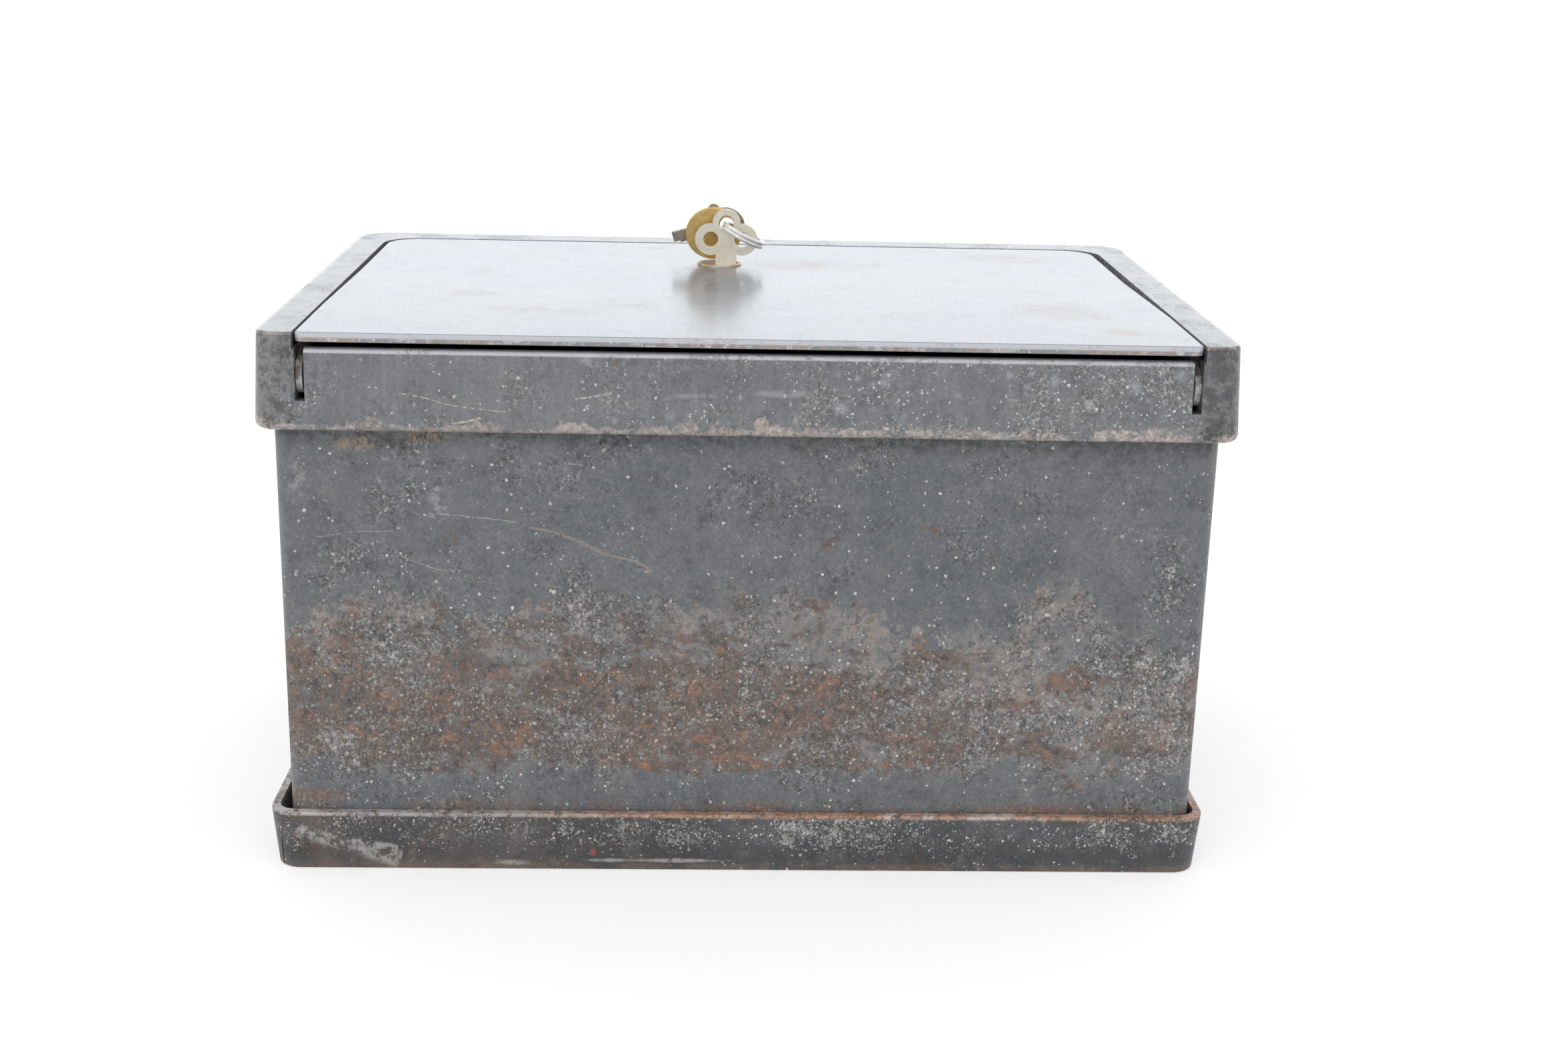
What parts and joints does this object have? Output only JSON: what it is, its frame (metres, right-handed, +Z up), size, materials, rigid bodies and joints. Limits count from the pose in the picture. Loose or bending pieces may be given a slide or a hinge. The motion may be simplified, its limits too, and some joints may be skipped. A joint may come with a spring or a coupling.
{
  "type": "strongbox",
  "caption": "Small steel strongbox with a heavy rim, a plinth band, a drop-in lid on hidden hinge arms, a lever lock and its keys in the lid.",
  "frame": {"origin": "centre of the footprint, on the surface the box stands on", "axes": "+Z up; +X along the long side; -Y the rear with the hinge slots; +Y the side the lid lifts from, where the lock is"},
  "size_m": [0.3192, 0.2202, 0.2071],
  "materials": {
    "body_paint": "satin",
    "rim_paint": "satin",
    "lid_paint": "gloss",
    "rivet_steel": "matte",
    "hinge_steel": "satin",
    "bright_steel": "satin",
    "lock_case_steel": "satin",
    "lock_brass": "satin",
    "collar_nickel": "satin",
    "key_nickel": "satin",
    "ring_steel": "gloss",
    "tag_brass": "satin",
    "spare_steel": "satin"
  },
  "bodies": {
    "case": {"base_plate": "body_paint", "case_shell": "body_paint", "foot_strips": "body_paint", "plinth_band": "body_paint", "base_rivets": "rivet_steel", "rim_frame": "rim_paint", "rim_rivets": "rivet_steel", "hinge_bracket_left": "hinge_steel", "hinge_bracket_right": "hinge_steel", "bracket_rivets": "rivet_steel", "hinge_pin_left": "bright_steel", "hinge_pin_right": "bright_steel", "lid_rest_left": "hinge_steel", "lid_rest_right": "hinge_steel", "lid_rest_front": "hinge_steel", "rest_rivets": "rivet_steel"},
    "lid": {"lid_plate": "lid_paint", "hinge_arm_left": "hinge_steel", "hinge_arm_right": "hinge_steel", "arm_studs": "rivet_steel", "lock_collar": "collar_nickel", "lock_case": "lock_case_steel", "lock_cap": "lock_case_steel", "cap_screws": "bright_steel", "lever_post": "bright_steel"},
    "barrel": {"lock_barrel": "collar_nickel", "barrel_cam": "bright_steel"},
    "bolt": {"lock_bolt": "bright_steel", "bolt_stump": "bright_steel"},
    "lever_1": {"lever_1": "lock_brass", "lever_spring_1": "lock_brass"},
    "lever_2": {"lever_2": "lock_brass", "lever_spring_2": "lock_brass"},
    "lever_3": {"lever_3": "lock_brass", "lever_spring_3": "lock_brass"},
    "key": {"bow_key": "key_nickel"},
    "ring": {"key_ring": "ring_steel"},
    "tag": {"brass_tag": "tag_brass"},
    "spare": {"spare_key": "spare_steel"}
  },
  "joints": [
    {"name": "lid_hinge", "type": "hinge", "parent": "case", "child": "lid", "pos_m": [0, -0.10085, 0.16983], "axis": [1, 0, 0], "range_deg": [0, 100]},
    {"name": "barrel_turn", "type": "hinge", "parent": "lid", "child": "barrel", "pos_m": [-0.01015, 0.04065, 0.176], "axis": [0, 0, 1], "range_deg": [0, 90]},
    {"name": "bolt_slide", "type": "slide", "parent": "lid", "child": "bolt", "axis": [0, 1, 0], "range_m": [0, 0.01018]},
    {"name": "lever_1_lift", "type": "hinge", "parent": "lid", "child": "lever_1", "pos_m": [-0.02715, 0.05065, 0.176], "axis": [0, 0, 1], "range_deg": [0, 4.51]},
    {"name": "lever_2_lift", "type": "hinge", "parent": "lid", "child": "lever_2", "pos_m": [-0.02715, 0.05065, 0.176], "axis": [0, 0, 1], "range_deg": [0, 5.51]},
    {"name": "lever_3_lift", "type": "hinge", "parent": "lid", "child": "lever_3", "pos_m": [-0.02715, 0.05065, 0.176], "axis": [0, 0, 1], "range_deg": [0, 6.51]},
    {"name": "key_slide", "type": "slide", "parent": "barrel", "child": "key", "axis": [0, 0, 1], "range_m": [0, 0.014]},
    {"name": "ring_swing", "type": "hinge", "parent": "key", "child": "ring", "pos_m": [-0.00835, 0.04065, 0.1994], "axis": [0, -1, 0], "range_deg": [0, 24]},
    {"name": "tag_swing", "type": "hinge", "parent": "key", "child": "tag", "pos_m": [-0.00767, 0.04396, 0.19922], "axis": [0, 0.9659, 0.2588], "range_deg": [0, 30]},
    {"name": "spare_swing", "type": "hinge", "parent": "key", "child": "spare", "pos_m": [-0.00685, 0.04542, 0.199], "axis": [0, 0.9659, 0.2588], "range_deg": [0, 25]}
  ],
  "couplings": [
    {"joint": "barrel_turn", "follows": "bolt_slide", "rad_per_m": 154.27},
    {"joint": "lever_1_lift", "follows": "bolt_slide", "rad_per_m": 7.7133},
    {"joint": "lever_2_lift", "follows": "bolt_slide", "rad_per_m": 9.4274},
    {"joint": "lever_3_lift", "follows": "bolt_slide", "rad_per_m": 11.141}
  ]
}
